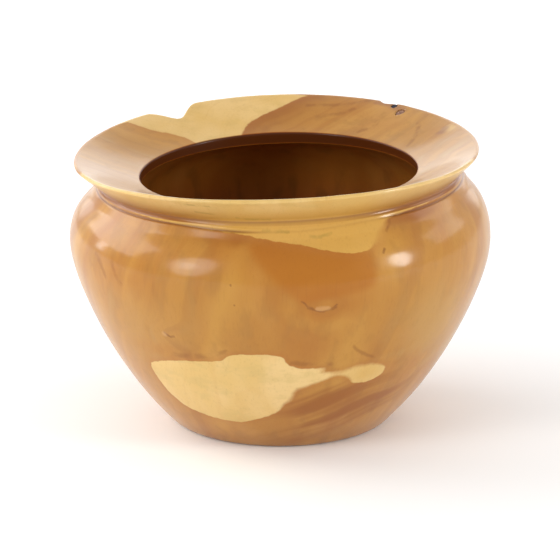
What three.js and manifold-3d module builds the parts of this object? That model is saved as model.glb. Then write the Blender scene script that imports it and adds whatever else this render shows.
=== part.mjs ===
// A round wooden bowl, turned and carved from one block of teak root.
// It has a small flat foot, a full belly, a drawn-in neck and a wide flared rim whose top slopes down
// to a round mouth. The hollow behind the mouth is wider than the mouth itself. The rim follows the
// root's natural edge: it has one deep notch, and one small chip where two slivers of bark are held
// in pockets in the wood. The frame is in millimetres, +Z up, with the origin at the foot's centre.
// Azimuths are measured from +Y, the back of the bowl, and grow towards +X.
import * as THREE from "three";
import { mergeVertices } from "three/addons/utils/BufferGeometryUtils.js";
import Module from "manifold-3d";

const wasm = await Module();
wasm.setup();

// Body
const BELLY_RADIUS = 149.4;
const BELLY_HEIGHT = 133;
const BELLY_DROP = 30; // reach of the side's curve below the belly
const BELLY_RISE = 24; // reach of the shoulder's curve above the belly
const FOOT_RADIUS = 77;
const FOOT_EDGE = 3; // softened edge between the foot and the side
const SIDE_RISE = THREE.MathUtils.degToRad(42); // how steeply the side leaves the foot
const SIDE_SWELL = 46; // reach of the side's curve above the foot

// Neck and rim, each counted from the feature before it
const NECK_INSET = 21.8; // belly to crease
const NECK_RISE = 45.2;
const NECK_FILLET = 5;
const SHOULDER_LEAN = THREE.MathUtils.degToRad(31);
const SHOULDER_SWELL = 8.3; // reach of the shoulder's curve below the neck
const LIP_OVERHANG = 17.1; // crease to lip
const LIP_RISE = 18.3;
const LIP_THICKNESS = 3.4;
const LEDGE_WIDTH = 46.7; // lip to mouth
const LEDGE_DROP = 16;
const MOUTH_EDGE = 2; // rounding of the mouth's edge
const MOUTH_LAND = 6; // straight wall under the mouth's edge

// Hollow
const WALL = 15; // at the belly
const HOLLOW_RISE = 20; // reach of the hollow's curve above its widest ring
const FLOOR_THICKNESS = 18;
const FLOOR_INSET = 37; // foot's rim to the edge of the hollow's flat floor
const FLOOR_SWELL = 48; // reach of the hollow's curve out from the floor
const HOLLOW_DROP = 38; // reach of the hollow's curve below its widest ring
const CEILING_LEAN = THREE.MathUtils.degToRad(18);

// Hand-worked rim: its plane leans and sits a little off centre, and it has dried slightly oval and
// to a shallow saddle
const RIM_LEAN = THREE.MathUtils.degToRad(1.9);
const RIM_SHIFT = -2.8;
const RIM_SADDLE = 2.5;
const RIM_OVAL = 0.012; // share by which the rim is narrower from side to side
const LEAN_RUN = 56; // height below the crease over which the shoulder takes up the lean
const RIM_RUN = 10; // height below the crease over which the other changes begin

// Natural edge: two bites out of the lip, with their widths as angles to either side
const NOTCH = { azimuth: -33.8, depth: 21.5, spreadBefore: 5.2, spreadAfter: 5.7 };
const CHIP = { azimuth: 34.5, depth: 5.3, spreadBefore: 1.6, spreadAfter: 5.5 };
const BITE_REACH = 2.6; // spreads from a bite's deepest point to its end
const BITE_CLEARANCE = 0.3; // keeps the ends of a bite off the lip

// Bark slivers: half sizes are along the rim, across it and down into it
const BARK = [
  { name: "bark_sliver_outer", azimuth: 38.6, inset: 4.7, half: [2.0, 2.5, 3.2], turn: 25 },
  { name: "bark_sliver_inner", azimuth: 42.6, inset: 10.2, half: [2.4, 3.3, 3.2], turn: -20 },
];
const BARK_GAP = 0.3; // clearance all round a sliver in its pocket
const BARK_SINK = 0.4; // how far a sliver's face lies below the wood around it

const ROUND_SEGMENTS = 72;

const NECK_RADIUS = BELLY_RADIUS - NECK_INSET;
const NECK_HEIGHT = BELLY_HEIGHT + NECK_RISE;
const LIP_RADIUS = NECK_RADIUS + LIP_OVERHANG;
const LIP_HEIGHT = NECK_HEIGHT + LIP_RISE;
const LIP_ROUND = LIP_THICKNESS / 2;
const MOUTH_RADIUS = LIP_RADIUS - LEDGE_WIDTH;
const MOUTH_HEIGHT = LIP_HEIGHT - LEDGE_DROP;
const FLARE_LEAN = Math.atan2(LIP_OVERHANG - LIP_ROUND, LIP_RISE - LIP_THICKNESS);

const wood = new THREE.MeshStandardMaterial({ color: 0xb9783c, roughness: 0.38, metalness: 0 });
const bark = new THREE.MeshStandardMaterial({ color: 0x2b2426, roughness: 0.92, metalness: 0 });

const at = (radius, height) => new THREE.Vector2(radius, height);

// The point a distance along a lean from the vertical: positive leans outwards.
const leaning = (from, distance, lean) =>
  at(from.x + distance * Math.sin(lean), from.y + distance * Math.cos(lean));

const bezier = (a, b, c, d, steps) => new THREE.CubicBezierCurve(a, b, c, d).getPoints(steps);
const corner = (a, b, c, steps) => new THREE.QuadraticBezierCurve(a, b, c).getPoints(steps);

// The foot and the outside, up to the crease under the rim.
function bodyProfile() {
  const footCorner = at(FOOT_RADIUS, 0);
  const sideLean = Math.PI / 2 - SIDE_RISE;
  const sideStart = leaning(footCorner, FOOT_EDGE, sideLean);
  const belly = at(BELLY_RADIUS, BELLY_HEIGHT);
  const crease = at(NECK_RADIUS, NECK_HEIGHT);
  const shoulderEnd = leaning(crease, -NECK_FILLET, -SHOULDER_LEAN);
  const sideHandle = leaning(sideStart, SIDE_SWELL, sideLean);
  const shoulderHandle = leaning(shoulderEnd, -SHOULDER_SWELL, -SHOULDER_LEAN);
  return [
    at(0, 0),
    ...corner(at(FOOT_RADIUS - FOOT_EDGE, 0), footCorner, sideStart, 2),
    ...bezier(sideStart, sideHandle, at(BELLY_RADIUS, BELLY_HEIGHT - BELLY_DROP), belly, 11),
    ...bezier(belly, at(BELLY_RADIUS, BELLY_HEIGHT + BELLY_RISE), shoulderHandle, shoulderEnd, 6),
    ...corner(shoulderEnd, crease, leaning(crease, NECK_FILLET, FLARE_LEAN), 3),
  ];
}

// The lip's round edge, from the flare under it to its highest point.
function lipProfile() {
  const [x, y] = [LIP_RADIUS - LIP_ROUND, LIP_HEIGHT - LIP_ROUND];
  return new THREE.EllipseCurve(x, y, LIP_ROUND, LIP_ROUND, -FLARE_LEAN, Math.PI / 2).getPoints(4);
}

// Where the rim's sloping top ends and the rounding of the mouth's edge begins.
const mouthTop = at(MOUTH_RADIUS + MOUTH_EDGE, MOUTH_HEIGHT + MOUTH_EDGE / 4);

// The rim's top, nearly level at the lip and at the mouth and steeper between them.
function ledgeProfile() {
  const lipTop = at(LIP_RADIUS - LIP_ROUND, LIP_HEIGHT);
  const width = lipTop.x - mouthTop.x;
  const drop = lipTop.y - mouthTop.y;
  const outerHandle = at(lipTop.x - width / 3, lipTop.y - drop / 4);
  const innerHandle = at(mouthTop.x + width / 3, mouthTop.y + drop / 4);
  return bezier(lipTop, outerHandle, innerHandle, mouthTop, 6);
}

// The mouth's edge, and the hollow from under it to the floor's centre.
function hollowProfile() {
  const edgeFoot = at(MOUTH_RADIUS, MOUTH_HEIGHT - MOUTH_EDGE);
  const ceiling = at(MOUTH_RADIUS, edgeFoot.y - MOUTH_LAND);
  const widest = at(BELLY_RADIUS - WALL, BELLY_HEIGHT);
  const floorEdge = at(FOOT_RADIUS - FLOOR_INSET, FLOOR_THICKNESS);
  const reach = (widest.x - ceiling.x) / 2;
  const ceilingHandle = at(ceiling.x + reach, ceiling.y - reach * Math.tan(CEILING_LEAN));
  const floorHandle = at(floorEdge.x + FLOOR_SWELL, FLOOR_THICKNESS);
  return [
    ...corner(mouthTop, at(MOUTH_RADIUS, MOUTH_HEIGHT), edgeFoot, 3),
    ...bezier(ceiling, ceilingHandle, at(widest.x, widest.y + HOLLOW_RISE), widest, 7),
    ...bezier(widest, at(widest.x, widest.y - HOLLOW_DROP), floorHandle, floorEdge, 9),
    at(0, FLOOR_THICKNESS),
  ];
}

// The turned blank, without the points where one stretch of the profile repeats the last one's end.
function turnedBlank() {
  const profile = [...bodyProfile(), ...lipProfile(), ...ledgeProfile(), ...hollowProfile()];
  const distinct = profile.filter((p, i) => i === 0 || p.distanceTo(profile[i - 1]) > 0.01);
  return new THREE.LatheGeometry(distinct, ROUND_SEGMENTS).rotateX(Math.PI / 2);
}

// Moves every vertex of a geometry by a function of its place.
function reshape(geometry, move) {
  const places = geometry.getAttribute("position");
  const place = new THREE.Vector3();
  for (let i = 0; i < places.count; i++) {
    place.fromBufferAttribute(places, i);
    move(place);
    places.setXYZ(i, place.x, place.y, place.z);
  }
  return geometry;
}

// The rim's lean, saddle, oval and shift. They fade out down the shoulder, so the body stays round.
function settleRim(place) {
  const rise = THREE.MathUtils.smoothstep(place.z, NECK_HEIGHT - LEAN_RUN, NECK_HEIGHT);
  const flare = THREE.MathUtils.smoothstep(place.z, NECK_HEIGHT - RIM_RUN, LIP_HEIGHT);
  const square = place.x ** 2 + place.y ** 2;
  const saddle = square > 0 ? (place.y ** 2 - place.x ** 2) / square : 0;
  place.z += rise * Math.tan(RIM_LEAN) * place.x + flare * RIM_SADDLE * saddle;
  place.x += flare * (RIM_SHIFT - RIM_OVAL * place.x);
}

function solidOf(geometry) {
  const bare = geometry.clone();
  bare.deleteAttribute("normal");
  bare.deleteAttribute("uv");
  const merged = mergeVertices(bare, 1e-3);
  const vertProperties = merged.getAttribute("position").array;
  const triVerts = new Uint32Array(merged.index.array);
  return new wasm.Manifold(new wasm.Mesh({ numProp: 3, vertProperties, triVerts }));
}

function geometryOf(solid) {
  const mesh = solid.getMesh();
  return new THREE.BufferGeometry()
    .setAttribute("position", new THREE.BufferAttribute(mesh.vertProperties.slice(), 3))
    .setIndex(new THREE.BufferAttribute(mesh.triVerts.slice(), 1));
}

// A cutter for one bite. Its plan follows the bite's edge, and its wall leans out with the flare, so
// the bite runs out before it reaches the crease.
function biteCutter(bite) {
  const steps = 18;
  const overhang = 25;
  const bottom = NECK_HEIGHT - NECK_FILLET;
  const outline = [];
  for (let i = 0; i <= steps; i++) {
    const share = (2 * i) / steps - 1;
    const spread = share < 0 ? bite.spreadBefore : bite.spreadAfter;
    const azimuth = THREE.MathUtils.degToRad(bite.azimuth + share * BITE_REACH * spread);
    const depth = bite.depth * Math.exp(-((share * BITE_REACH) ** 2));
    outline.push({ azimuth, radius: LIP_RADIUS + BITE_CLEARANCE - depth });
  }
  const first = outline[0].azimuth;
  const last = outline[steps].azimuth;
  for (const azimuth of [last, (first + last) / 2, first])
    outline.push({ azimuth, radius: LIP_RADIUS + overhang });
  const points = outline.map((p) => at(p.radius * Math.sin(p.azimuth), p.radius * Math.cos(p.azimuth)));
  const depth = LIP_HEIGHT + overhang - bottom;
  const cutter = new THREE.ExtrudeGeometry(new THREE.Shape(points), { depth, bevelEnabled: false });
  return reshape(cutter.translate(0, 0, bottom), (place) => {
    const radius = Math.hypot(place.x, place.y);
    const grown = (radius + (LIP_HEIGHT - place.z) * Math.tan(FLARE_LEAN)) / radius;
    place.x *= grown;
    place.y *= grown;
  });
}

// The height of the rim's top at a radius.
function ledgeHeight(radius) {
  const ledge = ledgeProfile();
  const next = ledge.findIndex((p) => p.x <= radius);
  const [outer, inner] = [ledge[next - 1], ledge[next]];
  return THREE.MathUtils.mapLinear(radius, outer.x, inner.x, outer.y, inner.y);
}

// A bark sliver's rounded body, grown by a margin and standing in the rim at its place.
function barkBody(sliver, margin) {
  const [along, across, down] = sliver.half.map((half) => half + margin);
  const azimuth = THREE.MathUtils.degToRad(sliver.azimuth);
  const radius = LIP_RADIUS - sliver.inset;
  return new THREE.SphereGeometry(1, 14, 10)
    .scale(along, across, down)
    .rotateZ(THREE.MathUtils.degToRad(sliver.turn) - azimuth)
    .translate(radius * Math.sin(azimuth), radius * Math.cos(azimuth), ledgeHeight(radius) - BARK_SINK);
}

const object = new THREE.Group();

function addPart(name, solid, material) {
  const part = new THREE.Mesh(reshape(geometryOf(solid), settleRim), material);
  part.name = name;
  object.add(part);
}

// The bowl is the blank, less its two bites and its bark pockets.
let bowl = solidOf(turnedBlank());
for (const bite of [NOTCH, CHIP]) bowl = bowl.subtract(solidOf(biteCutter(bite)));
const sunkBowl = bowl.translate([0, 0, -BARK_SINK]);
for (const sliver of BARK) bowl = bowl.subtract(solidOf(barkBody(sliver, BARK_GAP)));
addPart("bowl_body", bowl, wood);

// Each sliver keeps to the bitten rim's own shape, a little below its surface.
for (const sliver of BARK) addPart(sliver.name, sunkBowl.intersect(solidOf(barkBody(sliver, 0))), bark);

export default object;
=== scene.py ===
# A round bowl turned and carved from one block of teak root: small flat foot, full belly, drawn-in
# neck, wide flared rim with a natural notch, and two slivers of bark held in the rim's broken edge.
# Sizes are in millimetres where a name or a comment says so, and the meshes are in metres.
import math

import bmesh
import bpy
import numpy as np
from mathutils import Matrix, Vector, noise
from mathutils.geometry import interpolate_bezier


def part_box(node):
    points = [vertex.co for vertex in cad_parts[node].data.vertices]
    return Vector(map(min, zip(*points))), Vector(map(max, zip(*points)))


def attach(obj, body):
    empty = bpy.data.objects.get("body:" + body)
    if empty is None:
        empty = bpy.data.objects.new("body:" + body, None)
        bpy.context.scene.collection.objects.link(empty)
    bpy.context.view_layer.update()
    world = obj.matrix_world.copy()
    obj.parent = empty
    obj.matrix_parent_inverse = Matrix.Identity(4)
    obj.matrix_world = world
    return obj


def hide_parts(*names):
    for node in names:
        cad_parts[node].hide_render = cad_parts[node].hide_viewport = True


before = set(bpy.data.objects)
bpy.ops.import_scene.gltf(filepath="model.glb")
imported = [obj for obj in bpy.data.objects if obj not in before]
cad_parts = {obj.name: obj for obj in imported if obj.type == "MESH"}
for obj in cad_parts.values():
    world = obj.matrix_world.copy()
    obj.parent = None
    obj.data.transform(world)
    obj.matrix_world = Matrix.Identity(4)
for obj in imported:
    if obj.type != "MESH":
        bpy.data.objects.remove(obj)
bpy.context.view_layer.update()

MM = 0.001


# --- Camera: a long lens, a little above the rim, looking at the bowl's front.
camera_data = bpy.data.cameras.new("camera")
camera_data.lens = 243.6
camera_data.sensor_width = 36
CAMERA_REACH = 2.7
CAMERA_RISE = math.radians(17)
aim = Vector((-0.0001, 0, 0.0987))
towards_camera = Vector((0, -math.cos(CAMERA_RISE), math.sin(CAMERA_RISE)))
camera = bpy.data.objects.new("camera", camera_data)
camera.location = aim + towards_camera * CAMERA_REACH
camera.rotation_euler = (-towards_camera).to_track_quat("-Z", "Y").to_euler()
bpy.context.scene.collection.objects.link(camera)
bpy.context.scene.camera = camera


# --- Bowl: one block of teak root, turned on a lathe, then carved and sanded by hand. The rim was
# left with the root's own edge, so it leans, has dried a little oval and keeps a deep notch.
low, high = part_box("bowl_body")
BELLY_RADIUS = (high.x - low.x) / 2 / MM
BELLY_HEIGHT = 133
BELLY_DROP = 30
BELLY_RISE = 24
FOOT_RADIUS = 77
FOOT_EDGE = 3
SIDE_RISE = math.radians(42)
SIDE_SWELL = 46
NECK_INSET = 21.8
NECK_RISE = 45.2
NECK_RADIUS = BELLY_RADIUS - NECK_INSET
NECK_HEIGHT = BELLY_HEIGHT + NECK_RISE
NECK_FILLET = 2.6
NECK_BAND = 12
NECK_STEP = 0.47
SHOULDER_LEAN = math.radians(31)
END_PULL = 6
LIP_OVERHANG = 17.1
LIP_RISE = 18.3
LIP_RADIUS = NECK_RADIUS + LIP_OVERHANG
LIP_HEIGHT = NECK_HEIGHT + LIP_RISE
LIP_ROUND = 1.7
FLARE_LEAN = math.atan2(LIP_RADIUS - LIP_ROUND - NECK_RADIUS, LIP_HEIGHT - 2 * LIP_ROUND - NECK_HEIGHT)
LEDGE_WIDTH = 46.7
LEDGE_DROP = 16
MOUTH_RADIUS = LIP_RADIUS - LEDGE_WIDTH
MOUTH_HEIGHT = LIP_HEIGHT - LEDGE_DROP
MOUTH_EDGE = 1.6
MOUTH_LAND = 6
CEILING_LEAN = math.radians(18)
HOLLOW_RISE = 20
HOLLOW_DROP = 38
WALL = 15
FLOOR = 18
FLOOR_INSET = 37
FLOOR_SWELL = 48
ROUND_STEPS = 320


def curve(a, b, c, d, steps):
    points = interpolate_bezier(*(Vector((*p, 0)) for p in (a, b, c, d)), steps + 1)
    return [(p.x, p.y) for p in points]


def rounded(a, corner, b, steps):
    near_a = [p + (c - p) * 2 / 3 for p, c in zip(a, corner)]
    near_b = [p + (c - p) * 2 / 3 for p, c in zip(b, corner)]
    return curve(a, near_a, near_b, b, steps)


def leaning(point, distance, lean):
    return (point[0] + distance * math.sin(lean), point[1] + distance * math.cos(lean))


crease = (NECK_RADIUS, NECK_HEIGHT)
foot_corner = (FOOT_RADIUS, 0)
side_foot = leaning(foot_corner, FOOT_EDGE, math.pi / 2 - SIDE_RISE)
belly = (BELLY_RADIUS, BELLY_HEIGHT)
shoulder_low = leaning(crease, -NECK_BAND, -SHOULDER_LEAN)
shoulder_top = leaning(crease, -NECK_FILLET, -SHOULDER_LEAN)
flare_low = leaning(crease, NECK_FILLET, FLARE_LEAN)
lip_centre = (LIP_RADIUS - LIP_ROUND, LIP_HEIGHT - LIP_ROUND)
lip_turns = [-FLARE_LEAN + (FLARE_LEAN + math.pi / 2) * i / 10 for i in range(11)]
lip_arc = [leaning(lip_centre, LIP_ROUND, math.pi / 2 - t) for t in lip_turns]
mouth_top = (MOUTH_RADIUS + MOUTH_EDGE, MOUTH_HEIGHT + MOUTH_EDGE / 4)
mouth_foot = (MOUTH_RADIUS, MOUTH_HEIGHT - MOUTH_EDGE)
ledge_run = lip_arc[-1][0] - mouth_top[0]
ledge_fall = lip_arc[-1][1] - mouth_top[1]
ceiling = (MOUTH_RADIUS, mouth_foot[1] - MOUTH_LAND)
widest = (BELLY_RADIUS - WALL, BELLY_HEIGHT)
ceiling_reach = (widest[0] - ceiling[0]) / 2
floor_edge = (FOOT_RADIUS - FLOOR_INSET, FLOOR)

# Each stretch of the outline by name, from the foot's centre round to the floor's centre.
stretches = {
    "foot": [(FOOT_RADIUS * i / 8, 0) for i in range(8)],
    "foot_edge": rounded((FOOT_RADIUS - FOOT_EDGE, 0), foot_corner, side_foot, 5),
    "side": curve(
        side_foot,
        leaning(side_foot, SIDE_SWELL, math.pi / 2 - SIDE_RISE),
        (BELLY_RADIUS, BELLY_HEIGHT - BELLY_DROP),
        belly,
        64,
    ),
    "shoulder": curve(
        belly,
        (BELLY_RADIUS, BELLY_HEIGHT + BELLY_RISE),
        leaning(shoulder_low, -END_PULL, -SHOULDER_LEAN),
        shoulder_low,
        22,
    ),
    "neck": [leaning(crease, -NECK_BAND + NECK_STEP * i, -SHOULDER_LEAN) for i in range(20)],
    "crease": rounded(shoulder_top, crease, flare_low, 6),
    "flare": curve(
        flare_low,
        leaning(flare_low, END_PULL, FLARE_LEAN),
        leaning(lip_arc[0], -END_PULL, FLARE_LEAN),
        lip_arc[0],
        10,
    ),
    "lip": lip_arc,
    "ledge": curve(
        lip_arc[-1],
        (lip_arc[-1][0] - ledge_run / 3, lip_arc[-1][1] - ledge_fall / 4),
        (mouth_top[0] + ledge_run / 3, mouth_top[1] + ledge_fall / 4),
        mouth_top,
        24,
    ),
    "mouth": rounded(mouth_top, (MOUTH_RADIUS, MOUTH_HEIGHT), mouth_foot, 6),
    "land": [(MOUTH_RADIUS, mouth_foot[1] - i) for i in range(1, MOUTH_LAND)],
    "ceiling": curve(
        ceiling,
        (ceiling[0] + ceiling_reach, ceiling[1] - ceiling_reach * math.tan(CEILING_LEAN)),
        (widest[0], widest[1] + HOLLOW_RISE),
        widest,
        18,
    ),
    "hollow": curve(
        widest, (widest[0], widest[1] - HOLLOW_DROP), (floor_edge[0] + FLOOR_SWELL, FLOOR), floor_edge, 40
    ),
    "floor": [(floor_edge[0] * (1 - i / 6), FLOOR) for i in range(1, 7)],
}
outline = []
stretch_of = []
for name, points in stretches.items():
    for point in points:
        if not outline or math.dist(point, outline[-1]) > 0.05:
            outline.append(point)
            stretch_of.append(name)

bm = bmesh.new()
step = bm.verts.layers.int.new("step")
chain = []
for i, (radius, height) in enumerate(outline):
    vert = bm.verts.new((radius * MM, 0, height * MM))
    vert[step] = i
    chain.append(vert)
links = [bm.edges.new(pair) for pair in zip(chain, chain[1:])]
whole_turn = {"axis": (0, 0, 1), "angle": math.tau, "steps": ROUND_STEPS, "use_merge": True}
bmesh.ops.spin(bm, geom=chain + links, cent=(0, 0, 0), **whole_turn)
bmesh.ops.remove_doubles(bm, verts=bm.verts, dist=1e-7)
bmesh.ops.recalc_face_normals(bm, faces=bm.faces)
bowl_mesh = bpy.data.meshes.new("bowl")
bm.to_mesh(bowl_mesh)
bm.free()

count = len(bowl_mesh.vertices)
places = np.empty(count * 3)
bowl_mesh.vertices.foreach_get("co", places)
x, y, z = (places.reshape(-1, 3) / MM).T
steps = np.empty(count, int)
bowl_mesh.attributes["step"].data.foreach_get("value", steps)
stretch = np.array(stretch_of)[steps]
radius = np.hypot(x, y)
from_back = np.degrees(np.arctan2(x, y))
from_front = np.degrees(np.arctan2(x, -y))


# The natural edge: two bites, the notch and the chip, each deepest at its own angle, with soft ends.
# Each one is cut straight through the rim, and the lip's round is squeezed to fit what is left.
def bite(angle, depth, before, after):
    away = from_back - angle
    return depth * np.exp(-((away / np.where(away < 0, before, after)) ** 2))


bites = bite(angle=-33.8, depth=21.5, before=5.2, after=5.7)
bites = bites + bite(angle=34.5, depth=5.3, before=1.6, after=5.5)
ledge = np.array(stretches["ledge"])[::-1]
BITE_CLEAR = 0.3
wall_reach = LIP_RADIUS + BITE_CLEAR
ledge_bites = wall_reach + (LIP_HEIGHT - ledge[:, 1]) * math.tan(FLARE_LEAN) - ledge[:, 0]
top_end = np.interp(bites, ledge_bites[::-1], ledge[::-1, 0])
flare_base = NECK_RADIUS + (LIP_HEIGHT - NECK_HEIGHT) * math.tan(FLARE_LEAN)
under_end = np.minimum((wall_reach - bites + flare_base) / 2, lip_arc[0][0])
top_share = (top_end - mouth_top[0]) / ledge_run
under_share = (under_end - flare_low[0]) / (lip_arc[0][0] - flare_low[0])

on_ledge = stretch == "ledge"
radius[on_ledge] = mouth_top[0] + (radius[on_ledge] - mouth_top[0]) * top_share[on_ledge]
z[on_ledge] = np.interp(radius[on_ledge], ledge[:, 0], ledge[:, 1])
on_flare = stretch == "flare"
radius[on_flare] = flare_low[0] + (radius[on_flare] - flare_low[0]) * under_share[on_flare]
z[on_flare] = flare_low[1] + (z[on_flare] - flare_low[1]) * under_share[on_flare]
on_lip = stretch == "lip"
under_r = flare_low[0] + (lip_arc[0][0] - flare_low[0]) * under_share[on_lip]
under_z = flare_low[1] + (lip_arc[0][1] - flare_low[1]) * under_share[on_lip]
top_r = top_end[on_lip]
top_z = np.interp(top_r, ledge[:, 0], ledge[:, 1])
chord = np.subtract(lip_arc[-1], lip_arc[0])
chord_length = math.hypot(*chord)
from_under = np.stack([radius[on_lip] - lip_arc[0][0], z[on_lip] - lip_arc[0][1]], 1)
along = from_under @ chord / chord_length**2
proud = from_under @ np.array([chord[1], -chord[0]]) / chord_length**2
fullness = np.interp(bites[on_lip], (0.3, 8), (1, 0.25))
new_r, new_z = top_r - under_r, top_z - under_z
radius[on_lip] = under_r + new_r * along + new_z * proud * fullness
z[on_lip] = under_z + new_z * along - new_r * proud * fullness
turn = np.radians(from_back)
x, y = radius * np.sin(turn), radius * np.cos(turn)


# The lean, saddle, oval and shift of the rim, which fade out down the shoulder.
def ease(value, start, end):
    share = np.clip((value - start) / (end - start), 0, 1)
    return share**2 * (3 - 2 * share)


RIM_LEAN = math.radians(1.9)
RIM_SADDLE = 2.5
RIM_SHIFT = -2.8
RIM_OVAL = 0.012
LEAN_RUN = 56
RIM_RUN = 10
design_z = z.copy()
lean = ease(z, NECK_HEIGHT - LEAN_RUN, NECK_HEIGHT)
settle = ease(z, NECK_HEIGHT - RIM_RUN, LIP_HEIGHT)
saddle = np.cos(2 * turn)
z = z + lean * math.tan(RIM_LEAN) * x + settle * RIM_SADDLE * saddle
x = x + settle * (RIM_SHIFT - RIM_OVAL * x)
bowl_mesh.vertices.foreach_set("co", (np.stack([x, y, z], 1) * MM).ravel())
bowl_mesh.update()


# The tool's line round the neck: a fine ridge just under the crease and a cut below it, sanded away
# where the pale wood crosses the neck. The sanded surface also rolls by a few tenths of a millimetre.
def hump(value, centre, width):
    return np.exp(-(((value - centre) / width) ** 2))


RIDGE_HEIGHT = 0.3
RIDGE_ABOVE_CUT = 1.9
CUT_DEPTH = 0.45
ROLL_DEPTH = 0.3
FAR_AWAY = 99
under_neck = np.isin(stretch, ("neck", "shoulder", "crease")) & (design_z <= NECK_HEIGHT)
below_crease = np.where(under_neck, np.hypot(radius - NECK_RADIUS, design_z - NECK_HEIGHT), FAR_AWAY)
sanded = ease(from_front, -14, -2) * (1 - ease(from_front, 30, 38))
cut_place = 4.9 + 1.8 * ease(from_front, -30, -8) * (1 - ease(from_front, 5, 30))
ridge = hump(below_crease, cut_place - RIDGE_ABOVE_CUT, 0.9) * (1 - 0.6 * sanded)
cut = hump(below_crease, cut_place, 0.8) * (1 - 0.85 * sanded)

normals = np.empty(count * 3)
bowl_mesh.vertex_normals.foreach_get("vector", normals)
normals = normals.reshape(-1, 3)
roll = np.array([noise.noise(Vector(p) / 46) + 0.35 * noise.noise(Vector(p) / 17) for p in zip(x, y, z)])
standing = ease(z, 1, 10)
shift = RIDGE_HEIGHT * ridge - CUT_DEPTH * cut + standing * ROLL_DEPTH * (roll - 1)
x, y, z = (np.stack([x, y, z], 1) + normals * shift[:, None]).T
bowl_mesh.vertices.foreach_set("co", (np.stack([x, y, z], 1) * MM).ravel())


# Where the pale sapwood shows, as millimetres inside its edge. It is what was nearest to the bark.
def inside_outline(across, up, corners):
    corners = np.array(corners, float)
    for _ in range(2):
        after = np.roll(corners, -1, 0)
        corners = np.stack([corners * 0.8 + after * 0.2, corners * 0.2 + after * 0.8], 1).reshape(-1, 2)
    nearest = np.full(across.shape, 1e9)
    inside = np.zeros(across.shape, bool)
    for (ax, ay), (bx, by) in zip(corners, np.roll(corners, -1, 0)):
        share = ((across - ax) * (bx - ax) + (up - ay) * (by - ay)) / ((bx - ax) ** 2 + (by - ay) ** 2)
        share = np.clip(share, 0, 1)
        nearest = np.minimum(nearest, np.hypot(across - ax - share * (bx - ax), up - ay - share * (by - ay)))
        if ay != by:
            crosses = (ay > up) != (by > up)
            inside ^= crosses & (across < ax + (up - ay) / (by - ay) * (bx - ax))
    return np.where(inside, nearest, -nearest)


ROUND_MM = math.radians(1) * 132  # millimetres round the bowl for each degree
SLOPE = 1.2  # millimetres along the side for each one of height

# Outlines as degrees from the front and millimetres of height.
side_patch = [
    (-46, 66), (-38, 71.5), (-31, 75), (-24, 77), (-17.5, 79), (-15.5, 84), (-13, 86), (-6, 87), (1, 86),
    (1.8, 79), (5, 75.5), (9, 74.5), (14, 75), (13.5, 72.5), (11, 71), (14, 70.5), (17.5, 70), (20, 70.5),
    (23, 73), (30, 73), (35, 69), (34.5, 62), (30, 57.5), (23.5, 58.5), (23, 63), (20, 67), (17, 67.5),
    (14, 64), (9, 60), (4.5, 56), (4, 48), (1, 43), (0, 38), (-4, 32.5), (-14, 25), (-24, 25), (-32, 28),
    (-39, 31.5), (-44, 42), (-46, 54),
]  # fmt: skip
neck_patch = [
    (-76, 215), (-72, 192), (-66, 181), (-56, 176), (-25, 173.5), (-12, 171.5), (-6, 169), (0, 166.5),
    (6, 165), (12, 161), (20, 157), (25, 158), (28, 162), (31, 168), (34, 174), (58, 176), (68, 182),
    (74, 192), (78, 215),
]  # fmt: skip
notch_patch = [
    (172, 215), (178, 180), (188, 158), (200, 146), (210, 137), (217, 148), (226, 166), (233, 184),
    (240, 215),
]  # fmt: skip
back_patch = [
    (141, 66), (150, 73), (160, 76), (166, 84), (174, 88), (184, 87), (187, 80), (196, 76), (208, 75),
    (219, 71), (211, 66), (201, 64), (195, 55), (186, 48), (172, 45), (158, 51), (148, 58),
]  # fmt: skip
amber_core = [
    (-10, 166), (0, 168), (12, 165), (25, 158), (26.5, 151), (26, 135), (19, 132), (12, 130), (6, 126),
    (3, 132), (-3, 147),
]  # fmt: skip
amber_skirt = [
    (-22, 170), (-8, 170), (8, 165), (26, 160), (28.5, 141), (23, 121), (12, 112), (1, 116), (-9, 138),
]  # fmt: skip
# Outline as degrees from the back and millimetres of height, inside the mouth.
hollow_sap = [(-52, 186), (-46, 176), (-36, 173.5), (-28, 173), (-21, 176), (-16, 186)]
# Seen from above, as millimetres to the right and back: the wedge that opens round the notch.
wedge = [
    (-112, 89), (-99, 86), (-90, 85), (-80, 86), (-68, 84), (-58, 76), (-45, 60), (-28, 80), (-28, 98),
    (-25, 107), (-20, 113), (-12.5, 119.5), (-7, 122.5), (4, 130), (14, 136.5), (24, 141), (40, 152),
    (-60, 190), (-160, 120),
]  # fmt: skip


def patch(corners, degrees):
    return inside_outline(degrees * ROUND_MM, design_z * SLOPE, np.multiply(corners, (ROUND_MM, SLOPE)))


def spot(degrees, height, wide, tall):
    """A soft spot on the side, 1 in its middle, with half widths in degrees and millimetres."""
    away = (from_front - degrees + 180) % 360 - 180
    return hump(away, 0, wide) * hump(design_z, height, tall)


outer_sap = np.maximum(patch(side_patch, from_front), patch(neck_patch, from_front))
round_back = from_front % 360
outer_sap = np.maximum.reduce([outer_sap, patch(back_patch, round_back), patch(notch_patch, round_back)])
wedge_edge = inside_outline(x, y, wedge)
front_edge = (radius - 139 - 0.5 * np.maximum(np.abs(from_front) - 50, 0)) * 0.7
yellow_spot = 4.5 - np.hypot((from_back - 67) * 2.3, (radius - 137) * 1.2)
ledge_sap = np.maximum.reduce([wedge_edge, front_edge, yellow_spot])
inner_sap = patch(hollow_sap, from_back)
on_top = np.isin(stretch, ("ledge", "mouth"))
in_hollow = np.isin(stretch, ("land", "ceiling", "hollow", "floor"))
sapwood = np.select([on_top, in_hollow], [ledge_sap, inner_sap], outer_sap)

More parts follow.
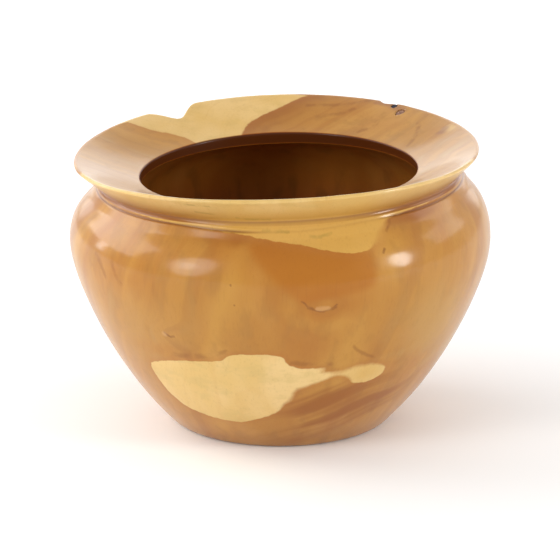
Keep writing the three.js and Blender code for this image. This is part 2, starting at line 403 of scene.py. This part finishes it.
# Where the edge of the sapwood is soft instead of crisp.
side_soft = 0.4 * spot(9, 50, 12, 16) + spot(32, 163, 4, 7)
side_soft += 0.4 * spot(24, 72, 9, 8) + 0.7 * spot(-160, 62, 14, 16)
softness = np.where(on_top, np.where(from_front > -115, 1.0, 0.35) * (np.abs(from_front) < 115), 0)
softness = np.clip(np.where(on_top | in_hollow, softness + 0.15, side_soft), 0, 1)
softness[on_top & (wedge_edge > -25)] = 0.06
softness[stretch == "lip"] = 0.5

# The growth rings' depth from the pith, which lies in front of the bowl. They run up the sides, bend
# round the knots, and on the rim follow the sapwood's edges. Below the front patch, dark streaks slant
# up to the right.
PITH_RIGHT = 20
PITH_FRONT = 290
SIDE_RADIUS = 130
RING_RATE = 0.8
pith_across = SIDE_RADIUS * np.sin(turn) - PITH_RIGHT
growth = RING_RATE * np.hypot(pith_across, SIDE_RADIUS * np.cos(turn) + PITH_FRONT)
growth -= 0.35 * (z - 100) * np.sin(np.radians(from_front))
growth += 24 * spot(11, 126, 9, 15) - 16 * spot(-33, 95, 6, 9)
growth += 30 * spot(150, 130, 16, 24) + 20 * spot(-105, 70, 12, 18)
slanting = 0.85 * z - 0.3 * from_front * ROUND_MM
slant_share = np.clip(1.3 * spot(26, 36, 34, 30), 0, 1)
growth[on_top] = -1.6 * wedge_edge[on_top]
growth[in_hollow] = RING_RATE * np.hypot(x - PITH_RIGHT, y + PITH_FRONT)[in_hollow]

# Broad changes of colour in the heartwood, darker where the strength is above 0 and paler below it:
# the strength, degrees from the front, height and half widths.
# The entry 6 mm high and 60 degrees each way is painted shade: the darker band round the foot.
broad_tones = [
    (0.75, 24, 42, 26, 18), (0.2, 38, 62, 12, 12), (-0.2, -15, 112, 26, 34), (0.5, -52, 142, 12, 8),
    (-0.2, 45, 112, 16, 34), (0.5, 5, 6, 60, 9), (1.1, 45, 172, 12, 6), (0.7, -14, 168, 16, 5),
    (0.5, 95, 125, 28, 28), (-0.3, -110, 90, 24, 40), (0.7, 160, 134, 26, 18), (0.6, -150, 60, 30, 26),
    (-0.4, 52, 95, 20, 44), (-0.35, -47, 92, 20, 42), (-0.2, -20, 70, 24, 12), (-0.3, 70, 60, 22, 24),
    (0.4, -95, 150, 20, 16), (0.4, -30, 80, 14, 5), (0.5, 120, 70, 26, 26),
]  # fmt: skip
tone = np.zeros(count)
for strength, *place in broad_tones:
    tone += strength * spot(*place)
outside_wedge = np.minimum(wedge_edge, 0)
beside_wedge = np.where(from_back < -35, 0.5 * np.exp(outside_wedge / 7), 1.25 * np.exp(outside_wedge / 40))
rim_tone = beside_wedge - 0.35
rim_tone += 0.9 * hump(from_back, 66, 2.2) * hump(radius, 128, 5)
tone[on_top] = rim_tone[on_top]
tone[in_hollow] = 0
slant_share[on_top | in_hollow] = 0
amber = 0.65 * ease(patch(amber_core, from_front), -4, 4)
amber += 0.45 * ease(patch(amber_skirt, from_front), -10, 10)
amber[on_top | in_hollow] = 0
flare_shade = np.isin(stretch, ("flare", "crease")) * np.exp(-np.maximum(design_z - NECK_HEIGHT, 0) / 5.5)
flare_shade = flare_shade * (0.3 + 0.9 * ease(np.abs(from_front - 4), 12, 42))
# How far the sapwood turns a deeper gold: most from the belly up to the neck, fading to a fifth up the
# flare, in a patch low at 28 degrees, and a third of the way on the rim.
deeper_sap = ease(design_z, 130, 158) * (1 - 0.8 * ease(design_z, 179, 191))
deeper_sap += 0.45 * spot(28, 66, 7, 9)
deeper_sap[on_top] = 0.35
shadow_line = np.maximum(cut, 0.9 * hump(below_crease, 0, 1.3))
# Painted shade inside the bowl: how strongly the hollow's wood is darkened. The upper wall, in the
# overhang's shadow, is painted lighter to make up for it, and the land and the mouth's inner round are
# painted darkest.
painted_hollow_shade = np.where(in_hollow, 1.15 - 0.42 * ease(design_z, 110, 155), 0)
painted_hollow_shade[stretch == "land"] = 1.9
in_mouth = stretch == "mouth"
painted_hollow_shade[in_mouth] = 1.9 * ease(MOUTH_HEIGHT + 0.5 - design_z, 0, 0.8)[in_mouth]

for name, values in {
    "sapwood": sapwood,
    "softness": softness,
    "growth": growth,
    "tone": tone,
    "slanting": slanting,
    "streaky": slant_share,
    "amber": amber,
    "deeper_sap": deeper_sap,
    "flare_shade": flare_shade,
    "shadow_line": shadow_line,
    "hollow": painted_hollow_shade,
}.items():
    attribute = bowl_mesh.attributes.new(name, "FLOAT", "POINT")
    attribute.data.foreach_set("value", values.astype(np.float32))
bowl_mesh.attributes.remove(bowl_mesh.attributes["step"])
bowl_mesh.polygons.foreach_set("use_smooth", [True] * len(bowl_mesh.polygons))
bowl_mesh.update()
bowl = bpy.data.objects.new("turned_bowl", bowl_mesh)
bpy.context.scene.collection.objects.link(bowl)


def linear(code):
    """The linear colour of an sRGB hex value."""
    channels = [int(code[i : i + 2], 16) / 255 for i in (1, 3, 5)]
    return [c / 12.92 if c <= 0.04045 else ((c + 0.055) / 1.055) ** 2.4 for c in channels] + [1]


def add(tree, kind, inputs=(), **settings):
    """Adds a node. Its inputs are numbers, colours or other nodes' sockets, by name or place."""
    made = tree.nodes.new("ShaderNode" + kind)
    for key, value in settings.items():
        setattr(made, key, value)
    for key, value in dict(inputs).items():
        if isinstance(value, bpy.types.NodeSocket):
            tree.links.new(value, made.inputs[key])
        else:
            made.inputs[key].default_value = value
    return made


# Teak root, sanded fine and brushed with clear satin lacquer. The heartwood is golden brown, with
# amber zones and soft streaks that follow the growth rings. The sapwood is straw yellow with faint
# grey-green flecks, and small knots and short dark lines show where rootlets left the wood.
teak = bpy.data.materials.new("lacquered_teak_root")
teak.use_nodes = True
tree = teak.node_tree
tree.nodes.clear()


def value(kind, a, b=0.0, c=0.0):
    return add(tree, "Math", {0: a, 1: b, 2: c}, operation=kind).outputs[0]


def vector(kind, a, b=(0, 0, 0), output=0, **more):
    return add(tree, "VectorMath", {0: a, 1: b, **more}, operation=kind).outputs[output]


def blend(share, a, b):
    return add(tree, "Mix", {0: share, 6: a, 7: b}, data_type="RGBA").outputs[2]


def stained(base, share, strength, colour):
    """The base with a colour laid over it, as strong as the share times the strength."""
    return blend(value("MULTIPLY", share, strength), base, linear(colour))


def between(number, start, end):
    inputs = {0: number, 1: start, 2: end, 3: 0.0, 4: 1.0}
    return add(tree, "MapRange", inputs, interpolation_type="SMOOTHSTEP").outputs[0]


def field(name):
    return add(tree, "Attribute", attribute_name=name).outputs["Fac"]


def grain(place, size_mm, detail=2.0, rough=0.5, output="Fac"):
    inputs = {"Vector": place, "Scale": 1000 / size_mm, "Detail": detail, "Roughness": rough}
    return add(tree, "TexNoise", inputs).outputs[output]


def stretched(scale):
    return add(tree, "Mapping", {"Vector": coordinates, "Scale": scale}).outputs[0]


coordinates = add(tree, "TexCoord").outputs["Object"]
lifted = stretched((1, 1, 0.4))
fibres = stretched((1, 1, 0.05))
level = stretched((0.55, 0.55, 1))

wander = value("MULTIPLY_ADD", grain(lifted, 70, 2.0), 22.0, -11.0)
ripple = value("MULTIPLY_ADD", grain(lifted, 15, 2.0), 6.0, -3.0)
ring = value("ADD", value("ADD", field("growth"), wander), ripple)


def rings(size_mm, detail, rough=0.5):
    inputs = {"W": value("MULTIPLY", ring, 1 / size_mm), "Scale": 1.0, "Detail": detail, "Roughness": rough}
    return add(tree, "TexNoise", inputs, noise_dimensions="1D").outputs["Fac"]


broad_rings = rings(18, 1.0)
fine_rings = rings(5, 3.0, 0.6)
rare_rings = between(rings(12, 0.0), 0.36, 0.2)
fibre = grain(fibres, 1.5, 3.0, 0.6)
cloud = grain(lifted, 38, 3.0, 0.5)
fleck = grain(level, 11, 3.0, 0.6)

# Heartwood, from its usual gold to the darker and the paler zones.
streak = value("MULTIPLY_ADD", broad_rings, 0.82, value("MULTIPLY", fine_rings, 0.18))
heart = blend(between(streak, 0.22, 0.78), linear("#a66c25"), linear("#b98536"))
blotch = grain(lifted, 55, 3.0, 0.5)
heart = stained(heart, between(cloud, 0.46, 0.7), 0.4, "#a2631f")
heart = stained(heart, between(blotch, 0.5, 0.3), 0.45, "#c2904a")
heart = stained(heart, rare_rings, 0.15, "#88501a")
smear = between(grain(lifted, 13, 2.5, 0.55), 0.5, 0.68)
heart = stained(heart, smear, 0.3, "#946528")
fading = value("MULTIPLY_ADD", between(grain(lifted, 26, 2.0), 0.38, 0.62), 1.0, 0.25)
toned = value("MULTIPLY_ADD", value("SUBTRACT", streak, 0.5), fading, field("tone"))
slant_place = add(tree, "CombineXYZ", {0: value("ADD", field("slanting"), wander)}).outputs[0]
slant_place = vector("ADD", slant_place, vector("SCALE", coordinates, Scale=30.0))
slant_grain = {"Vector": slant_place, "Scale": 0.11, "Detail": 2.5, "Roughness": 0.55}
slants = add(tree, "TexNoise", slant_grain).outputs[0]
slants = value("MULTIPLY", value("SUBTRACT", slants, 0.5), value("MULTIPLY", field("streaky"), 2.8))
toned = value("ADD", toned, slants)
heart = stained(heart, between(toned, 0.1, 1.1), 0.85, "#8e500c")
heart = stained(heart, between(toned, -0.1, -0.7), 0.8, "#b48a46")
heart = stained(heart, field("amber"), 0.8, "#a5620d")

# Sapwood, and its edge: crisp in most places, feathered along the rings in others.
sap = blend(between(cloud, 0.36, 0.64), linear("#d6b26b"), linear("#dfbe80"))
sap = stained(sap, between(fleck, 0.48, 0.7), 0.42, "#c4a765")
sap = stained(sap, between(fine_rings, 0.5, 0.72), 0.12, "#c48c3e")
sap = stained(sap, field("deeper_sap"), 0.85, "#c3923c")
frayed = value("MULTIPLY_ADD", fine_rings, 5.0, -2.5)
edge_noise = value("MULTIPLY_ADD", grain(coordinates, 6, 3.0, 0.6), 2.4, -1.2)
edge_noise = value("MULTIPLY_ADD", frayed, field("softness"), edge_noise)
depth = value("ADD", field("sapwood"), edge_noise)
reach = value("MULTIPLY_ADD", field("softness"), 7.0, 0.45)
is_sap = between(depth, value("MULTIPLY", reach, -1.0), reach)
heart = stained(heart, between(depth, -7.0, -0.3), 0.3, "#a5662a")
wood = blend(is_sap, heart, sap)
wood = stained(wood, between(fibre, 0.5, 0.78), 0.13, "#7a4716")
wood = stained(wood, field("flare_shade"), 0.85, "#90550f")
wood = stained(wood, field("shadow_line"), 0.8, "#6b3a14")

# Short lines and dots in the wood, and one painted highlight, each one drawn between points on the finished
# surface.
place_from_front = np.degrees(np.arctan2(x, -y))
is_outside = ~(on_top | in_hollow)


def on_side(degrees, height):
    near = is_outside & (np.abs(place_from_front - degrees) < 0.7)
    order = np.argsort(z[near])
    reach = np.interp(height, z[near][order], np.hypot(x, y)[near][order])
    turn = math.radians(degrees)
    return Vector((reach * math.sin(turn), -reach * math.cos(turn), height)) * MM


def on_rim(degrees, reach):
    near = on_top & (np.abs(place_from_front - degrees) < 0.7)
    order = np.argsort(np.hypot(x, y)[near])
    turn = math.radians(degrees)
    height = np.interp(reach, np.hypot(x, y)[near][order], z[near][order])
    return Vector((reach * math.sin(turn), -reach * math.cos(turn), height)) * MM


shake = vector("SUBTRACT", grain(coordinates, 5, 2.0, 0.5, "Color"), (0.5, 0.5, 0.5))
shaken = vector("ADD", coordinates, vector("SCALE", shake, Scale=0.0022))


def nearness(lines, soft):
    """1 on any of the lines, each a half width in millimetres and its points, and 0 away from them."""
    nearest = 9.0
    for half_width, points in lines:
        if len(points) == 1:
            points = [points[0], points[0] + Vector((0, 0, 0.0002))]
        for start, end in zip(points, points[1:]):
            span = end - start
            offset = vector("SUBTRACT", shaken, start)
            along = vector("DOT_PRODUCT", offset, span, output="Value")
            along = value("MULTIPLY", along, 1 / span.length_squared)
            along = add(tree, "Clamp", {"Value": along}).outputs[0]
            across = vector("SUBTRACT", offset, vector("SCALE", span, Scale=along))
            distance = vector("LENGTH", across, output="Value")
            nearest = value("MINIMUM", value("MULTIPLY", distance, 1 / (half_width * MM)), nearest)
    return between(nearest, soft, 0.4)


smile = [(5.6, 128.5), (7.2, 124.5), (9.3, 121.6), (11.2, 120.8), (13.3, 121.8), (14.9, 125)]
# The dot at -34.6 degrees is a painted highlight, the glint on the pin knot's pit; the short line inside the
# smile is a pale mark.
pale_marks_and_glint = [
    (1.1, [on_side(9.8, 123), on_side(12.6, 122.9)]),
    (1.5, [on_side(-34.6, 95.2)]),
]
dark_marks = [
    (0.55, [on_side(*p) for p in smile]),
    (0.9, [on_side(7.4, 124), on_side(8.6, 122.4)]),
    (0.9, [on_side(13, 121.8), on_side(14.6, 123.2)]),
    (0.8, [on_side(-34.4, 96.4), on_side(-32.6, 93.6), on_side(-31.4, 95)]),
    (0.6, [on_side(-12, 125)]),
    (0.6, [on_side(-13, 139)]),
    (0.8, [on_side(34.4, 175), on_side(34, 172), on_side(32.4, 168.5)]),
    (0.9, [on_side(29.6, 158.5), on_side(29, 156.5)]),
]
soft_marks = [
    (1.5, [on_side(-33, 79), on_side(-27, 80.5), on_side(-21, 83)]),
    (1.2, [on_side(-19.5, 84.5), on_side(-15.5, 88)]),
    (1.4, [on_side(3.5, 80.5), on_side(9, 78), on_side(15, 77.5)]),
    (0.9, [on_side(20.7, 93), on_side(23, 86.6), on_side(26, 82), on_side(30.7, 78)]),
    (1.2, [on_rim(128, 127.5), on_rim(124, 120), on_rim(121, 113), on_rim(118, 104)]),
    (1.3, [on_rim(166, 117), on_rim(158, 122), on_rim(155, 128)]),
    (1.2, [on_rim(171, 129), on_rim(162, 130), on_rim(156, 134), on_rim(151, 141)]),
    (1.2, [on_rim(147, 104), on_rim(143, 111), on_rim(143, 118)]),
    (1.2, [on_side(-59, 141), on_side(-56, 136), on_side(-54, 128)]),
    (1.0, [on_side(-64, 138), on_side(-61, 132)]),
    (1.1, [on_side(-51, 140), on_side(-49, 131), on_side(-47, 126)]),
    (1.5, [on_side(118, 150), on_side(124, 144), on_side(131, 141)]),
    (1.4, [on_side(-128, 104), on_side(-121, 100), on_side(-117, 92)]),
]
grey_marks = [
    (0.7, [on_side(-27, 190.5), on_side(-20, 191)]),
    (0.8, [on_side(-25, 184), on_side(-19.5, 183.2)]),
    (0.7, [on_side(-13, 181.2), on_side(-3, 180.8)]),
    (0.7, [on_side(-5, 173.2), on_side(2.4, 172.6)]),
    (0.8, [on_side(9, 169.4), on_side(12, 168.8), on_side(15, 170.8)]),
]
stains = [
    (2.0, [on_rim(149, 138.5), on_rim(144.5, 138)]),
    (2.6, [on_rim(142.5, 137.5), on_rim(138.5, 134.5)]),
    (2.2, [on_rim(115, 131), on_rim(113.5, 126.5)]),
]
patchy = between(grain(coordinates, 8, 2.0), 0.3, 0.6)
wood = stained(wood, nearness(stains, 2.4), 0.5, "#85523a")
wood = stained(wood, nearness(soft_marks, 2.4), value("MULTIPLY", patchy, 0.42), "#80490f")
wood = stained(wood, nearness(grey_marks, 2.4), value("MULTIPLY", patchy, 0.4), "#86732c")
wood = stained(wood, nearness(dark_marks, 2.0), value("MULTIPLY_ADD", patchy, 0.4, 0.25), "#74400f")
# Painted highlight beside the pin knot, and a pale mark inside the smile.
wood = stained(wood, nearness(pale_marks_and_glint, 2.2), 0.3, "#dcb27c")
# Painted shade in the hollow: its wood is mixed towards dark reddish browns, and on the land and the mouth's
# inner round towards a flat dark brown.
shaded_hollow_wood = blend(value("MULTIPLY", between(cloud, 0.4, 0.66), 0.6), linear("#84390b"), linear("#5c2206"))
shaded_hollow_wood = stained(shaded_hollow_wood, smear, 0.45, "#3c1403")
wood = blend(value("MULTIPLY", value("MINIMUM", field("hollow"), 1.2), 0.7), wood, shaded_hollow_wood)
wood = blend(between(field("hollow"), 1.2, 1.9), wood, linear("#502508"))

brushing = value("MULTIPLY_ADD", grain(lifted, 12, 3.0), 0.12, 0.34)
relief = value("MULTIPLY_ADD", fibre, 0.6, value("MULTIPLY", fine_rings, 0.4))
bump = add(tree, "Bump", {"Height": relief, "Strength": 0.1, "Distance": 0.0004})
lacquered = {
    "Base Color": wood,
    "Roughness": brushing,
    "Normal": bump.outputs[0],
    "Specular IOR Level": 0.1,
    "Coat Weight": 0.55,
    "Coat Roughness": 0.16,
    "Coat IOR": 1.5,
    "Sheen Weight": 0.1,
    "Sheen Roughness": 0.4,
}
shader = add(tree, "BsdfPrincipled", lacquered)
add(tree, "OutputMaterial", {"Surface": shader.outputs[0]})
bowl_mesh.materials.append(teak)

# The hollow, out of reach of most of the sanding and the lacquer, is duller.
dull_teak = teak.copy()
dull_teak.name = "dull_teak_root"
dull_teak.node_tree.nodes[shader.name].inputs["Coat Weight"].default_value = 0.2
dull_teak.node_tree.nodes[shader.name].inputs["Sheen Weight"].default_value = 0
bowl_mesh.materials.append(dull_teak)
corner_verts = np.empty(len(bowl_mesh.loops), int)
bowl_mesh.loops.foreach_get("vertex_index", corner_verts)
starts = np.empty(len(bowl_mesh.polygons), int)
bowl_mesh.polygons.foreach_get("loop_start", starts)
is_dull = (in_hollow | in_mouth).astype(int)
bowl_mesh.polygons.foreach_set("material_index", np.minimum.reduceat(is_dull[corner_verts], starts))

# The pockets where the bark sits are pressed into a finer patch of the rim. Each sliver has its half
# sizes in millimetres, and its turn in degrees from the line across the rim.
POCKET_DEPTH = 2.2
slivers = {
    "bark_sliver_outer": {"half": (2.0, 2.5, 1.9), "turn": 25, "light": "#3a3746", "dark": "#0c0b12"},
    "bark_sliver_inner": {"half": (2.4, 3.3, 2.1), "turn": -20, "light": "#a57c66", "dark": "#735444"},
}
bm = bmesh.new()
bm.from_mesh(bowl_mesh)
for node, sliver in slivers.items():
    low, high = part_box(node)
    centre = (low + high) / 2
    nearest = np.argmin(np.where(on_top, np.hypot(x - centre.x / MM, y - centre.y / MM), 1e9))
    up = Vector(normals[nearest])
    below = Vector((x[nearest], y[nearest], z[nearest])) * MM - centre
    sliver["place"] = centre + Vector((0, 0, below.dot(up) / up.z))
    along_rim = Matrix.Rotation(math.radians(sliver["turn"]) - math.atan2(centre.x, centre.y), 3, "Z")
    sliver["stance"] = Vector((0, 0, 1)).rotation_difference(up).to_matrix() @ along_rim
    for finer in (9, 6):
        close = {v for v in bm.verts if (v.co - sliver["place"]).length < finer * MM and v.normal.z > 0.2}
        edges = {e for v in close for e in v.link_edges if e.other_vert(v) in close}
        bmesh.ops.subdivide_edges(bm, edges=list(edges), cuts=2, use_grid_fill=True)
        many_sided = [f for f in bm.faces if len(f.verts) > 4]
        bmesh.ops.triangulate(bm, faces=many_sided, quad_method="BEAUTY", ngon_method="BEAUTY")
        bm.normal_update()
for sliver in slivers.values():
    to_sliver = sliver["stance"].transposed()
    for vert in bm.verts:
        offset = to_sliver @ (vert.co - sliver["place"])
        if offset.length < 8 * MM and vert.normal.z > 0.2:
            across = math.hypot(offset.x / (sliver["half"][0] * MM), offset.y / (sliver["half"][1] * MM))
            ragged = across + 0.25 * noise.noise(vert.co * 900)
            sunk = 1 - min(max((ragged - 0.95) / 0.35, 0), 1)
            vert.co -= sliver["stance"].col[2] * (POCKET_DEPTH * MM * sunk**0.5)
bmesh.ops.recalc_face_normals(bm, faces=bm.faces)
bm.to_mesh(bowl_mesh)
bm.free()
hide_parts("bowl_body")
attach(bowl, "root")


# --- Bark slivers: two flakes of the root's bark that the wood grew round. They were left in the rim
# when it was sanded, so their faces are dry, cracked and a little below the lacquered wood.
BARK_SINK = 0.3
for node, sliver in slivers.items():
    bm = bmesh.new()
    bmesh.ops.create_icosphere(bm, subdivisions=4, radius=1)
    for vert in bm.verts:
        rough = 1 + 0.16 * noise.noise(vert.co * 2.3 + sliver["place"] * 400)
        rough += 0.07 * noise.noise(vert.co * 7)
        layered = 0.05 * math.sin(vert.co.y * 16 + 3 * noise.noise(vert.co * 3))
        vert.co *= rough + layered
        vert.co.z = min(vert.co.z, 0.3 + 0.12 * noise.noise(vert.co * 5))
    bmesh.ops.scale(bm, vec=[h * MM for h in sliver["half"]], verts=bm.verts)
    top = max(v.co.z for v in bm.verts)
    bmesh.ops.translate(bm, vec=(0, 0, -BARK_SINK * MM - top), verts=bm.verts)
    bmesh.ops.rotate(bm, cent=(0, 0, 0), matrix=sliver["stance"], verts=bm.verts)
    bmesh.ops.translate(bm, vec=sliver["place"], verts=bm.verts)
    bmesh.ops.recalc_face_normals(bm, faces=bm.faces)
    flake_mesh = bpy.data.meshes.new(node.replace("sliver", "flake"))
    bm.to_mesh(flake_mesh)
    bm.free()
    flake = bpy.data.objects.new(flake_mesh.name, flake_mesh)
    bpy.context.scene.collection.objects.link(flake)

    # Dry bark: crumbly, with fine cracks, darkest where lacquer has soaked in.
    bark = bpy.data.materials.new("dry_bark_" + node.split("_")[-1])
    bark.use_nodes = True
    tree = bark.node_tree
    tree.nodes.clear()
    coordinates = add(tree, "TexCoord").outputs["Object"]
    crumbs = grain(coordinates, 1.1, 3.0, 0.6)
    cracks = add(tree, "TexVoronoi", {"Vector": coordinates, "Scale": 900.0}, feature="DISTANCE_TO_EDGE")
    tint = blend(between(crumbs, 0.35, 0.65), linear(sliver["dark"]), linear(sliver["light"]))
    bump = add(tree, "Bump", {"Height": cracks.outputs["Distance"], "Strength": 0.6, "Distance": 0.0004})
    shader = add(tree, "BsdfPrincipled", {"Base Color": tint, "Roughness": 0.85, "Normal": bump.outputs[0]})
    add(tree, "OutputMaterial", {"Surface": shader.outputs[0]})
    flake_mesh.materials.append(bark)
    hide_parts(node)
    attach(flake, "root")


# --- Studio: a pale floor, a white surround, and soft panels and lamps round the bowl.
floor_mesh = bpy.data.meshes.new("floor")
bm = bmesh.new()
bmesh.ops.create_grid(bm, x_segments=1, y_segments=1, size=30)
bm.to_mesh(floor_mesh)
bm.free()
floor = bpy.data.objects.new("floor", floor_mesh)
bpy.context.scene.collection.objects.link(floor)
paper = bpy.data.materials.new("pale_paper")
paper.use_nodes = True
paper.node_tree.nodes["Principled BSDF"].inputs["Base Color"].default_value = (0.95, 0.95, 0.95, 1)
paper.node_tree.nodes["Principled BSDF"].inputs["Roughness"].default_value = 0.9
paper.node_tree.nodes["Principled BSDF"].inputs["Specular IOR Level"].default_value = 0.1
floor_mesh.materials.append(paper)

world = bpy.data.worlds.new("white_surround")
world.use_nodes = True
world.node_tree.nodes["Background"].inputs["Color"].default_value = (1, 1, 1, 1)
world.node_tree.nodes["Background"].inputs["Strength"].default_value = 0.66
bpy.context.scene.world = world


def panel(name, degrees, rise, reach, width, tall, power, shape="RECTANGLE"):
    """A soft panel facing the bowl, at an angle from the front and a rise above the horizon."""
    lamp = bpy.data.lights.new(name, "AREA")
    lamp.shape = shape
    lamp.size, lamp.size_y = width, tall
    lamp.energy = power
    made = bpy.data.objects.new(name, lamp)
    a, e = math.radians(degrees), math.radians(rise)
    away = Vector((math.sin(a) * math.cos(e), -math.cos(a) * math.cos(e), math.sin(e)))
    made.location = Vector((0, 0, 0.13)) + away * reach
    made.rotation_euler = (-away).to_track_quat("-Z", "Y").to_euler()
    bpy.context.scene.collection.objects.link(made)


panel("left_window", -112, 28, 2.2, 2.0, 1.1, 27)
panel("left_lamp", -112, 8, 2.2, 0.22, 0.5, 3)
panel("front_window", -50, 22, 2.4, 1.0, 1.7, 20, "ELLIPSE")
panel("front_lamp", -52, 22, 2.3, 0.36, 0.6, 2.6, "ELLIPSE")
panel("right_window", 110, 24, 2.2, 1.1, 0.8, 6)
panel("right_lamp", 66, 14, 2.2, 0.5, 0.85, 19, "ELLIPSE")
panel("back_wall", 180, 15, 2.6, 3.4, 1.3, 21)
bpy.context.scene.view_settings.view_transform = "Standard"
